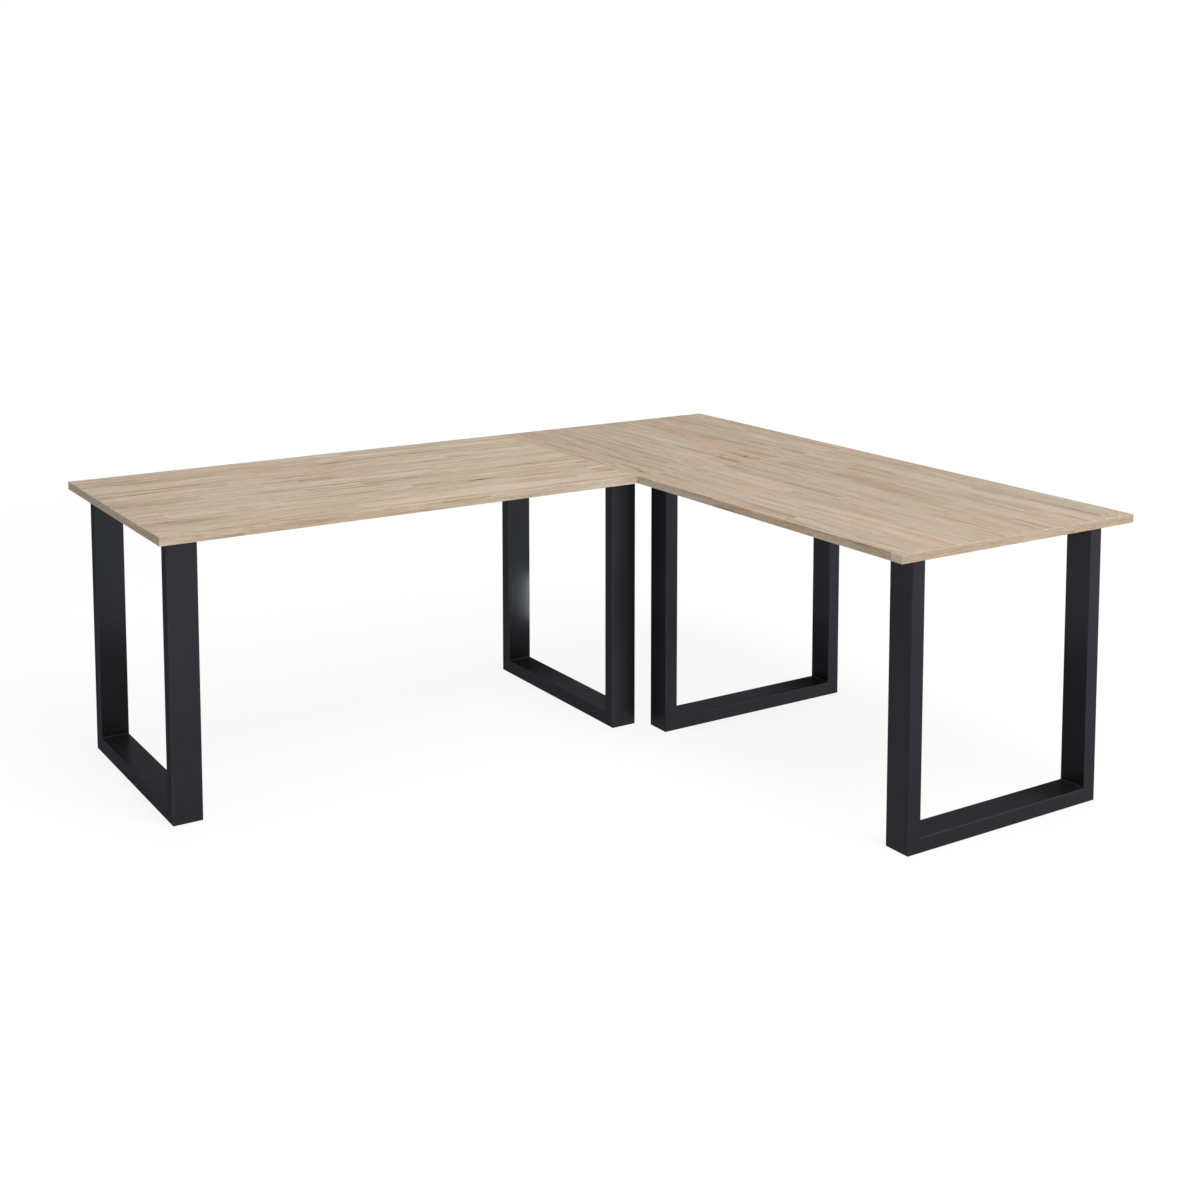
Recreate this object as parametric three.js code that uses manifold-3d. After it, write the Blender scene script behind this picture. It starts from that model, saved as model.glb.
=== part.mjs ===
// Corner desk: three wood-decor tops butted together into an L, on four welded steel U-frames.
// Millimetres, +Z up. Plan coordinates start at the rear left corner of the left top, with +X along
// its rear edge and -Y towards the front; the whole desk is then centred over the origin, with the
// floor at z = 0.

import * as THREE from 'three';
import { mergeVertices } from 'three/addons/utils/BufferGeometryUtils.js';
import Module from 'manifold-3d';

// Tops
const DESK_HEIGHT = 762;
const TOP_THICKNESS = 22;
const TOP_DEPTH = 800;
const LEFT_TOP_LENGTH = 1400;
const RIGHT_TOP_LENGTH = 1100;
const BAND_THICKNESS = 2;
const BAND_EDGE_RADIUS = 1;
const BAND_EDGE_STEPS = 4;

// Frames: the tube's wide side runs along the top that it carries, its narrow side across it.
const FRAME_WIDTH = 655;
const TUBE_WIDTH = 80;
const TUBE_DEPTH = 40;
const TUBE_WALL = 2;
const TUBE_RADIUS = 2.5;
const TUBE_RADIUS_STEPS = 3;
const END_FRAME_INSET = 40;
const PLATE_THICKNESS = 5;

// Glides pressed into the underside of each foot rail
const GLIDE_PROUD = 2;
const GLIDE_RADIUS = 15;
const GLIDE_EDGE = 0.7;
const GLIDE_STEM_RADIUS = 5;
const GLIDE_STEM_HEIGHT = 9;
const GLIDE_FROM_END = 60;
const GLIDE_SIDES = 20;

// Pan-head wood screws, driven from below through each top plate
const SCREW_RADIUS = 2.5;
const SCREW_LENGTH = 20;
const SCREW_TIP = 4;
const SCREW_HEAD_RADIUS = 5;
const SCREW_HEAD_HEIGHT = 3;
const SCREW_SIDES = 12;
const SCREW_FROM_END = 100;
const SCREW_OFF_CENTRE = 25;
const RECESS_LENGTH = 5;
const RECESS_WIDTH = 1.2;
const RECESS_DEPTH = 1.6;

// Clearance left wherever two pieces touch or one passes through another
const FIT_GAP = 0.3;

// Derived sizes
const DESK_LENGTH = LEFT_TOP_LENGTH + TOP_DEPTH;
const DESK_WIDTH = TOP_DEPTH + RIGHT_TOP_LENGTH;
const TOP_UNDERSIDE = DESK_HEIGHT - TOP_THICKNESS;
const PLATE_TOP = TOP_UNDERSIDE - FIT_GAP;
const PLATE_BOTTOM = PLATE_TOP - PLATE_THICKNESS;
const SCREW_SEAT = PLATE_BOTTOM - FIT_GAP;
const POST_LENGTH = PLATE_BOTTOM - FIT_GAP - GLIDE_PROUD;
const RAIL_CENTRE_HEIGHT = GLIDE_PROUD + TUBE_DEPTH / 2;
const MITRE_GAP = FIT_GAP * Math.SQRT1_2;

const wasm = await Module();
wasm.setup();

// Materials

const FINISHES = {
  decor: { color: 0xc4ac8d, roughness: 0.55, metalness: 0 },
  band: { color: 0xbfa686, roughness: 0.5, metalness: 0 },
  coat: { color: 0x2a2b2f, roughness: 0.4, metalness: 0.2 },
  zinc: { color: 0xb9bcc0, roughness: 0.35, metalness: 0.9 },
  plastic: { color: 0x1c1c1d, roughness: 0.6, metalness: 0 },
};

function piece(name, geometry, finish) {
  const mesh = new THREE.Mesh(geometry, new THREE.MeshStandardMaterial(FINISHES[finish]));
  mesh.name = name;
  return mesh;
}

// Solids

function toManifold(geometry) {
  const bare = geometry.clone();
  bare.deleteAttribute('normal');
  bare.deleteAttribute('uv');
  const merged = mergeVertices(bare, 1e-4);
  return new wasm.Manifold(new wasm.Mesh({
    numProp: 3,
    vertProperties: Float32Array.from(merged.attributes.position.array),
    triVerts: Uint32Array.from(merged.index.array),
  }));
}

function subtract(geometry, cutters) {
  let solid = toManifold(geometry);
  for (const cutter of cutters) {
    solid = solid.subtract(toManifold(cutter));
  }
  const mesh = solid.getMesh();
  const result = new THREE.BufferGeometry();
  result.setAttribute('position', new THREE.BufferAttribute(mesh.vertProperties, 3));
  result.setIndex(new THREE.BufferAttribute(mesh.triVerts, 1));
  result.computeVertexNormals();
  return result;
}

function box(x0, x1, y0, y1, z0, z1) {
  const geometry = new THREE.BoxGeometry(x1 - x0, y1 - y0, z1 - z0);
  return geometry.translate((x0 + x1) / 2, (y0 + y1) / 2, (z0 + z1) / 2);
}

function uprightCylinder(radius, x, y, z0, z1, sides) {
  const geometry = new THREE.CylinderGeometry(radius, radius, z1 - z0, sides);
  return geometry.rotateX(Math.PI / 2).translate(x, y, (z0 + z1) / 2);
}

// A solid of revolution about Z. The profile lists [radius, height] from the bottom to the top.
function turned(profile, sides) {
  const points = profile.map(([radius, height]) => new THREE.Vector2(radius, height));
  return new THREE.LatheGeometry(points, sides).rotateX(Math.PI / 2);
}

// Tops

// An edging strip: its outer long edges are rounded unless it faces a seam. The section is drawn
// with the outer face at x = 0, then carried along the strip's length from y = 0.
function bandGeometry(length, rounded) {
  const radius = BAND_EDGE_RADIUS;
  const section = new THREE.Shape();
  section.moveTo(-BAND_THICKNESS, 0);
  if (rounded) {
    section.absarc(-radius, radius, radius, -Math.PI / 2, 0, false);
    section.absarc(-radius, TOP_THICKNESS - radius, radius, 0, Math.PI / 2, false);
  } else {
    section.lineTo(0, 0);
    section.lineTo(0, TOP_THICKNESS);
  }
  section.lineTo(-BAND_THICKNESS, TOP_THICKNESS);
  const geometry = new THREE.ExtrudeGeometry(section, {
    depth: length,
    bevelEnabled: false,
    curveSegments: BAND_EDGE_STEPS,
  });
  return geometry.rotateX(Math.PI / 2).translate(0, length, 0);
}

// Each top is a core with four edging strips. The strips on the long sides run through to the
// corners, and the two others fit between them.
function addTop(desk, top) {
  const inset = BAND_THICKNESS + FIT_GAP;
  const blank = box(
    top.left + inset, top.right - inset, top.front + inset, top.rear - inset, TOP_UNDERSIDE, DESK_HEIGHT,
  );
  const holes = screwPlaces()
    .filter(({ x, y }) => x > top.left && x < top.right && y > top.front && y < top.rear)
    .map(({ x, y }) => pilotHole(x, y));
  desk.add(piece(`${top.name}_core`, subtract(blank, holes), 'decor'));

  const alongX = top.right - top.left > top.rear - top.front;
  for (const [side, seam] of Object.entries(top.sides)) {
    const runsAlongX = side === 'front' || side === 'rear';
    const shorten = runsAlongX === alongX ? 0 : inset;
    const from = runsAlongX ? top.left : top.front;
    const to = runsAlongX ? top.right : top.rear;
    const strip = piece(`${top.name}_band_${side}`, bandGeometry(to - from - 2 * shorten, !seam), 'band');
    placeBand(strip, side, top, shorten);
    desk.add(strip);
  }
}

// Turns a strip so that its outer face looks out of the named side, starting at one end of it.
function placeBand(strip, side, top, shorten) {
  const starts = {
    right: [top.right, top.front + shorten, 0],
    rear: [top.right - shorten, top.rear, Math.PI / 2],
    left: [top.left, top.rear - shorten, Math.PI],
    front: [top.left + shorten, top.front, -Math.PI / 2],
  };
  const [x, y, turn] = starts[side];
  strip.position.set(x, y, TOP_UNDERSIDE);
  strip.rotation.z = turn;
}

function pilotHole(x, y) {
  const depth = SCREW_SEAT + SCREW_LENGTH + FIT_GAP - TOP_UNDERSIDE;
  return uprightCylinder(
    SCREW_RADIUS + FIT_GAP, x, y, TOP_UNDERSIDE - 1, TOP_UNDERSIDE + depth, SCREW_SIDES,
  );
}

// Frames

// A rounded rectangle, drawn anticlockwise about the centre.
function roundedOutline(width, height, radius, outline) {
  const x = width / 2 - radius;
  const y = height / 2 - radius;
  const corners = [[x, -y, -Math.PI / 2], [x, y, 0], [-x, y, Math.PI / 2], [-x, -y, Math.PI]];
  for (const [cx, cy, from] of corners) {
    outline.absarc(cx, cy, radius, from, from + Math.PI / 2, false);
  }
  return outline;
}

// A hollow tube along +Z from 0, its narrow side along X. A mitred end is cut at 45 degrees, with
// the point on the +X side, and backs off by half the joint's clearance.
function tubeGeometry(length, mitreStart, mitreEnd) {
  const section = roundedOutline(TUBE_DEPTH, TUBE_WIDTH, TUBE_RADIUS, new THREE.Shape());
  section.holes.push(roundedOutline(
    TUBE_DEPTH - 2 * TUBE_WALL, TUBE_WIDTH - 2 * TUBE_WALL, TUBE_RADIUS - TUBE_WALL, new THREE.Path(),
  ));
  const geometry = new THREE.ExtrudeGeometry(section, {
    depth: length,
    bevelEnabled: false,
    curveSegments: TUBE_RADIUS_STEPS,
  });
  const position = geometry.attributes.position;
  for (let i = 0; i < position.count; i += 1) {
    const cut = TUBE_DEPTH / 2 - position.getX(i) + MITRE_GAP;
    const atEnd = position.getZ(i) > length / 2;
    if (atEnd && mitreEnd) {
      position.setZ(i, length - cut);
    } else if (!atEnd && mitreStart) {
      position.setZ(i, cut);
    }
  }
  return geometry;
}

function postGeometry() {
  return tubeGeometry(POST_LENGTH, true, false);
}

// The foot rail along X, centred, with a hole in its floor for each glide's stem.
function railGeometry() {
  const tube = tubeGeometry(FRAME_WIDTH, true, true);
  tube.rotateY(Math.PI / 2).translate(-FRAME_WIDTH / 2, 0, 0);
  const holes = glideOffsets().map((x) => uprightCylinder(
    GLIDE_STEM_RADIUS + FIT_GAP, x, 0, -TUBE_DEPTH, TUBE_WALL + 1 - TUBE_DEPTH / 2, GLIDE_SIDES,
  ));
  return subtract(tube, holes);
}

function plateGeometry() {
  const half = FRAME_WIDTH / 2;
  const plate = box(-half, half, -TUBE_WIDTH / 2, TUBE_WIDTH / 2, 0, PLATE_THICKNESS);
  const holes = screwOffsets().map(([x, y]) => uprightCylinder(
    SCREW_RADIUS + FIT_GAP, x, y, -1, PLATE_THICKNESS + 1, SCREW_SIDES,
  ));
  return subtract(plate, holes);
}

// The disc stands on the floor at z = 0, and the stem plugs into the rail above it. The disc keeps
// clear of the rail by the usual gap.
function glideGeometry() {
  return turned([
    [0, 0],
    [GLIDE_RADIUS - GLIDE_EDGE, 0],
    [GLIDE_RADIUS, GLIDE_EDGE],
    [GLIDE_RADIUS, GLIDE_PROUD - FIT_GAP],
    [GLIDE_STEM_RADIUS, GLIDE_PROUD - FIT_GAP],
    [GLIDE_STEM_RADIUS, GLIDE_STEM_HEIGHT - 1],
    [GLIDE_STEM_RADIUS - 1, GLIDE_STEM_HEIGHT],
    [0, GLIDE_STEM_HEIGHT],
  ], GLIDE_SIDES);
}

// The head's seat is at z = 0, with the shank pointing up and a cross recess below.
function screwGeometry() {
  const body = turned([
    [0, -SCREW_HEAD_HEIGHT],
    [SCREW_HEAD_RADIUS * 0.6, -SCREW_HEAD_HEIGHT],
    [SCREW_HEAD_RADIUS * 0.9, -SCREW_HEAD_HEIGHT * 0.65],
    [SCREW_HEAD_RADIUS, 0],
    [SCREW_RADIUS, 0],
    [SCREW_RADIUS, SCREW_LENGTH - SCREW_TIP],
    [0, SCREW_LENGTH],
  ], SCREW_SIDES);
  const long = RECESS_LENGTH / 2;
  const thin = RECESS_WIDTH / 2;
  const floor = -SCREW_HEAD_HEIGHT + RECESS_DEPTH;
  const below = -SCREW_HEAD_HEIGHT - 1;
  return subtract(body, [
    box(-long, long, -thin, thin, below, floor),
    box(-thin, thin, -long, long, below, floor),
  ]);
}

function glideOffsets() {
  const reach = FRAME_WIDTH / 2 - GLIDE_FROM_END;
  return [-reach, reach];
}

function screwOffsets() {
  const reach = FRAME_WIDTH / 2 - SCREW_FROM_END;
  return [-reach, reach].flatMap((x) => [-SCREW_OFF_CENTRE, SCREW_OFF_CENTRE].map((y) => [x, y]));
}

// Each frame stands across its top: turned frames run from the rear to the front, the others from
// the inner side to the outer side. The seam frames are centred under the joint of two tops.
function frames() {
  const middle = TOP_DEPTH / 2;
  const endCentre = END_FRAME_INSET + TUBE_WIDTH / 2;
  const across = LEFT_TOP_LENGTH + middle;
  return [
    { name: 'left_end', x: endCentre, y: -middle, turn: -Math.PI / 2, ends: ['rear', 'front'] },
    { name: 'left_seam', x: LEFT_TOP_LENGTH, y: -middle, turn: -Math.PI / 2, ends: ['rear', 'front'] },
    { name: 'right_seam', x: across, y: -TOP_DEPTH, turn: 0, ends: ['inner', 'outer'] },
    { name: 'right_end', x: across, y: endCentre - DESK_WIDTH, turn: 0, ends: ['inner', 'outer'] },
  ];
}

function screwPlaces() {
  return frames().flatMap((frame) => screwOffsets().map(([along, off]) => ({
    x: frame.x + along * Math.cos(frame.turn) - off * Math.sin(frame.turn),
    y: frame.y + along * Math.sin(frame.turn) + off * Math.cos(frame.turn),
  })));
}

function frameGroup(frame) {
  const group = new THREE.Group();
  group.position.set(frame.x, frame.y, 0);
  group.rotation.z = frame.turn;

  const rail = piece(`${frame.name}_foot_rail`, railGeometry(), 'coat');
  rail.position.z = RAIL_CENTRE_HEIGHT;
  const plate = piece(`${frame.name}_top_plate`, plateGeometry(), 'coat');
  plate.position.z = PLATE_BOTTOM;
  group.add(rail, plate);

  frame.ends.forEach((end, index) => {
    const outward = index === 0 ? -1 : 1;
    const post = piece(`${frame.name}_post_${end}`, postGeometry(), 'coat');
    post.position.set(outward * (FRAME_WIDTH - TUBE_DEPTH) / 2, 0, GLIDE_PROUD);
    post.rotation.z = outward < 0 ? Math.PI : 0;
    const glide = piece(`${frame.name}_glide_${end}`, glideGeometry(), 'plastic');
    glide.position.x = glideOffsets()[index];
    group.add(post, glide);
  });

  screwOffsets().forEach(([x, y], index) => {
    const screw = piece(`${frame.name}_screw_${index + 1}`, screwGeometry(), 'zinc');
    screw.position.set(x, y, SCREW_SEAT);
    group.add(screw);
  });
  return group;
}

// Assembly

// Sides marked true meet another top, so they back off by half the gap and stay square.
function tops() {
  const half = FIT_GAP / 2;
  const seamX = LEFT_TOP_LENGTH;
  return [
    {
      name: 'left_top',
      left: 0,
      right: seamX - half,
      rear: 0,
      front: -TOP_DEPTH,
      sides: { front: false, rear: false, left: false, right: true },
    },
    {
      name: 'corner_top',
      left: seamX + half,
      right: DESK_LENGTH,
      rear: 0,
      front: -TOP_DEPTH + half,
      sides: { front: true, rear: false, left: true, right: false },
    },
    {
      name: 'right_top',
      left: seamX,
      right: DESK_LENGTH,
      rear: -TOP_DEPTH - half,
      front: -DESK_WIDTH,
      sides: { front: false, rear: true, left: false, right: false },
    },
  ];
}

function buildDesk() {
  const desk = new THREE.Group();
  desk.position.set(-DESK_LENGTH / 2, DESK_WIDTH / 2, 0);
  for (const top of tops()) {
    addTop(desk, top);
  }
  for (const frame of frames()) {
    desk.add(frameGroup(frame));
  }
  return desk;
}

export default buildDesk();
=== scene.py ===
"""Corner desk: three oak-decor tops butted into an L, on four welded steel U-frames.

Lengths are in metres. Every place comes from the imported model's boxes; the sizes given here are
those that the boxes don't hold, such as wall thicknesses, radii and weld beads.
"""

import logging
import math
from dataclasses import dataclass
from enum import Enum
from functools import cache
from typing import ClassVar

import bpy
import numpy as np
from mathutils import Matrix, Vector


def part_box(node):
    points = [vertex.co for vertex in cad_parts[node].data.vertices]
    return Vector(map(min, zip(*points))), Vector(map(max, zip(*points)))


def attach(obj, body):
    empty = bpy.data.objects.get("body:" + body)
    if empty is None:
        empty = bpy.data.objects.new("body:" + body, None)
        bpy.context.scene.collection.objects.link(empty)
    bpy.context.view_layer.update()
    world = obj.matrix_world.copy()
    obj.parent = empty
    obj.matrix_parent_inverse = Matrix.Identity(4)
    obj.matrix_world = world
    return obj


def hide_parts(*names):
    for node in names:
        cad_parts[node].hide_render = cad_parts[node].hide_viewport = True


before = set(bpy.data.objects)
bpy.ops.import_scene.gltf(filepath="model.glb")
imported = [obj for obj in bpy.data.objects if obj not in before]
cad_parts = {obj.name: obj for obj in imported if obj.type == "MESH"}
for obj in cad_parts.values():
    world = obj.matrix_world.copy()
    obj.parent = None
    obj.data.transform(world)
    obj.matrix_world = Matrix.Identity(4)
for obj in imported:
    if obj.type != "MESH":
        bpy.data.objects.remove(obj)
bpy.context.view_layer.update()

LOG = logging.getLogger("corner_desk")
MM = 0.001
BODY = "root"

Socket = bpy.types.NodeSocket
Value = Socket | float | int | tuple
Colour = tuple[float, float, float]
Place = tuple[float, float, float]

WHITE: Colour = (1.0, 1.0, 1.0)
UP = np.array([0.0, 0.0, 1.0])
LEAST_RADIUS = 0.02 * MM
TIGHT_ARRIS = 0.06 * MM
HOLD = 0.4  # how far past an arc the flat is held flat, as a share of the arc's radius
PLAIN_SMOOTH, SCREW_SMOOTH, PAD_SMOOTH, BEAD_SMOOTH = 32.0, 35.0, 40.0, 50.0  # shading angles


# ---- Surfaces ----


@dataclass
class Surface:
    """A closed skin.

    Attributes:
        points: the corners' places, one row each.
        faces: four corner numbers for each face; a triangle gives its last corner twice.
        arris: for each corner, 1 on a rounded edge and 0 on flat ground.
    """

    points: np.ndarray
    faces: np.ndarray
    arris: np.ndarray

    def moved(self, origin: np.ndarray, axes: np.ndarray = np.eye(3)) -> "Surface":
        """The same skin, its three coordinates laid along the given axes from an origin."""
        return Surface(self.points @ axes + origin, self.faces, self.arris)

    def volume(self) -> float:
        """The signed volume: the sum over triangles of a . (b x c) / 6."""
        a, b, c, d = (self.points[self.faces[:, corner]] for corner in range(4))
        first = np.einsum("ij,ij->i", a, np.cross(b, c)).sum()
        second = np.einsum("ij,ij->i", a, np.cross(c, d)).sum()
        return float(first + second) / 6

    def outward(self) -> "Surface":
        """The same skin with its faces pointing out: a negative volume turns every face round."""
        if self.volume() > 0:
            return self
        a, b, c, d = self.faces.T
        triangles = c == d
        turned = np.where(triangles, np.stack([a, c, b, b]), np.stack([a, d, c, b]))
        return Surface(self.points, turned.T, self.arris)


def joined(parts: list[Surface]) -> Surface:
    """Several closed skins as one mesh, each keeping its own corners."""
    starts = np.cumsum([0] + [len(part.points) for part in parts[:-1]])
    return Surface(
        np.concatenate([part.points for part in parts]),
        np.concatenate([part.faces + start for part, start in zip(parts, starts)]),
        np.concatenate([part.arris for part in parts]),
    )


def lofted(rings: np.ndarray, arris: np.ndarray | None = None, endless: bool = False) -> Surface:
    """Joins a stack of closed rings into a skin.

    Corner (i, j) of the grid is point j of ring i. Each face joins two neighbours on a ring to the
    same two on the next ring. An open stack is closed by a fan from the mean point of each end
    ring; an endless one joins its last ring to its first.

    Args:
        rings: an array of ring, point and coordinate.
        arris: an array of ring and point, 1 on rounded edges; without it every flag is 0.
        endless: whether the last ring meets the first, as on a hollow tube.

    Returns:
        The closed skin, its faces pointing out.
    """
    count, size, _ = rings.shape
    arris = np.zeros((count, size)) if arris is None else arris
    number = np.arange(count * size).reshape(count, size)
    lower = number if endless else number[:-1]
    upper = np.roll(number, -1, axis=0) if endless else number[1:]
    along = np.stack([lower, np.roll(lower, -1, axis=1), np.roll(upper, -1, axis=1), upper], axis=-1)
    points = [rings.reshape(-1, 3)]
    faces = [along.reshape(-1, 4)]
    flags = [arris.reshape(-1)]
    if not endless:
        for pole, (ring, near, far) in enumerate(((0, 1, 0), (-1, 0, 1))):
            edge = number[ring]
            pair = (edge, np.roll(edge, -1))
            centre = np.full(size, count * size + pole)
            faces.append(np.stack([pair[near], pair[far], centre, centre], axis=-1))
            points.append(rings[ring].mean(axis=0)[None])
            flags.append(np.zeros(1))
    return Surface(np.concatenate(points), np.concatenate(faces), np.concatenate(flags)).outward()


def rounded_outline(
    size: tuple[float, float],
    radii: tuple[float, float, float, float],
    inset: float = 0.0,
    steps: int = 6,
) -> tuple[np.ndarray, np.ndarray]:
    """A rectangle about the origin with a quarter circle at each corner.

    Each corner's arc runs anticlockwise, with a point just before and just after it on the flat
    sides, so that the flats stay flat to their shading.

    Args:
        size: width and height before the inset.
        radii: the radius at (+,-), (+,+), (-,+) and (-,-).
        inset: how far every side moves in.
        steps: faces on each arc.

    Returns:
        The points, and 1 for each point that lies on an arc.
    """
    turn = np.linspace(0, math.pi / 2, steps + 1)
    points, flags = [], []
    for index, (sx, sy) in enumerate(((1, -1), (1, 1), (-1, 1), (-1, -1))):
        radius = max(radii[index] - inset, LEAST_RADIUS)
        hold = HOLD * radii[index]
        angle = turn + (index - 1) * math.pi / 2
        centre = np.array([sx * (size[0] / 2 - inset - radius), sy * (size[1] / 2 - inset - radius)])
        arc = centre + radius * np.stack([np.cos(angle), np.sin(angle)], axis=-1)
        before = arc[0] - hold * np.array([-math.sin(angle[0]), math.cos(angle[0])])
        after = arc[-1] + hold * np.array([-math.sin(angle[-1]), math.cos(angle[-1])])
        points.append(np.concatenate([before[None], arc, after[None]]))
        flags.append(np.concatenate([[0.0], np.ones(len(arc)), [0.0]]))
    return np.concatenate(points), np.concatenate(flags)


def bar(
    size: tuple[float, float],
    length: float,
    radii: tuple[float, float, float, float],
    end_radius: float,
    steps: int = 6,
) -> Surface:
    """A solid bar of rounded section, its ends eased by a quarter circle.

    Ring k of an end lies at an angle t from 0 to 90 degrees: it is inset by r (1 - sin t) and set
    back from the end by r (1 - cos t). One more ring on each side of the arc holds the flats flat.

    Args:
        size: the section's width and height.
        length: the bar's length, from 0 along the third coordinate.
        radii: the section's corner radii, as rounded_outline takes them.
        end_radius: the radius r at both ends.
        steps: faces on each arc.

    Returns:
        The closed skin.
    """
    turn = np.linspace(0, math.pi / 2, steps + 1)
    held = (1 + HOLD) * end_radius
    insets = np.concatenate([[held], end_radius * (1 - np.sin(turn)), [0.0]])
    heights = np.concatenate([[0.0], end_radius * (1 - np.cos(turn)), [held]])
    on_end = np.concatenate([[0.0], np.ones(steps + 1), [0.0]])
    stations = [(inset, height, flag) for inset, height, flag in zip(insets, heights, on_end)]
    stations += [(inset, length - height, flag) for inset, height, flag in reversed(stations)]
    rings, arris = [], []
    for inset, height, flag in stations:
        outline, corners = rounded_outline(size, radii, inset, steps)
        rings.append(np.column_stack([outline, np.full(len(outline), height)]))
        arris.append(np.maximum(corners, flag))
    return lofted(np.array(rings), np.array(arris))


def turned(profile: np.ndarray, sides: int) -> Surface:
    """A solid of revolution about the third axis.

    Point (i, j) lies at the profile's radius i and height i, at the angle 2 pi j / sides.

    Args:
        profile: radius and height of each ring, from the bottom up, clear of the axis.
        sides: points on each ring.

    Returns:
        The closed skin.
    """
    angle = np.arange(sides) * 2 * math.pi / sides
    radius, height = profile[:, :1], profile[:, 1:]
    rings = np.stack(
        [radius * np.cos(angle), radius * np.sin(angle), np.broadcast_to(height, (len(profile), sides))],
        axis=-1,
    )
    return lofted(rings)


def arc_profile(
    centre: tuple[float, float], radius: float, start: float, end: float, steps: int
) -> np.ndarray:
    """Points on an arc of a profile, its start and end angles in degrees."""
    angle = np.radians(np.linspace(start, end, steps + 1))
    return np.stack([centre[0] + radius * np.cos(angle), centre[1] + radius * np.sin(angle)], axis=-1)


def node_box(node: str) -> tuple[np.ndarray, np.ndarray]:
    """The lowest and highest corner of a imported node, as arrays."""
    low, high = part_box(node)
    return np.array(low), np.array(high)


def add_mesh(name: str, corners: list, faces: list, material: bpy.types.Material) -> bpy.types.Object:
    """Puts a mesh with one material into the scene as a new object."""
    mesh = bpy.data.meshes.new(name)
    mesh.from_pydata(corners, [], faces)
    mesh.materials.append(material)
    added = bpy.data.objects.new(name, mesh)
    bpy.context.scene.collection.objects.link(added)
    return added


def make_piece(
    name: str,
    surface: Surface,
    dress: "Finish",
    stands_for: tuple[str, ...] = (),
    smooth_below: float = PLAIN_SMOOTH,
) -> None:
    """Puts a surface into the scene as a piece of the desk.

    Args:
        name: the piece's name.
        surface: its skin, in the row frame.
        dress: its finish.
        stands_for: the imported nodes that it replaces.
        smooth_below: edges flatter than this angle, in degrees, shade as one surface.
    """
    faces = [row[:3] if row[2] == row[3] else row for row in surface.faces.tolist()]
    piece = add_mesh(name, surface.points.tolist(), faces, material_of(dress))
    mesh = piece.data
    edge = mesh.attributes.new("arris", "FLOAT", "POINT")
    edge.data.foreach_set("value", surface.arris.astype(np.float32))
    mesh.polygons.foreach_set("use_smooth", np.ones(len(faces), dtype=bool))
    mesh.set_sharp_from_angle(angle=math.radians(smooth_below))
    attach(piece, BODY)
    if stands_for:
        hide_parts(*stands_for)
    LOG.info("%s: %d faces, stands for %s", name, len(faces), ", ".join(stands_for) or "nothing")


# ---- Shader wiring ----


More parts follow.
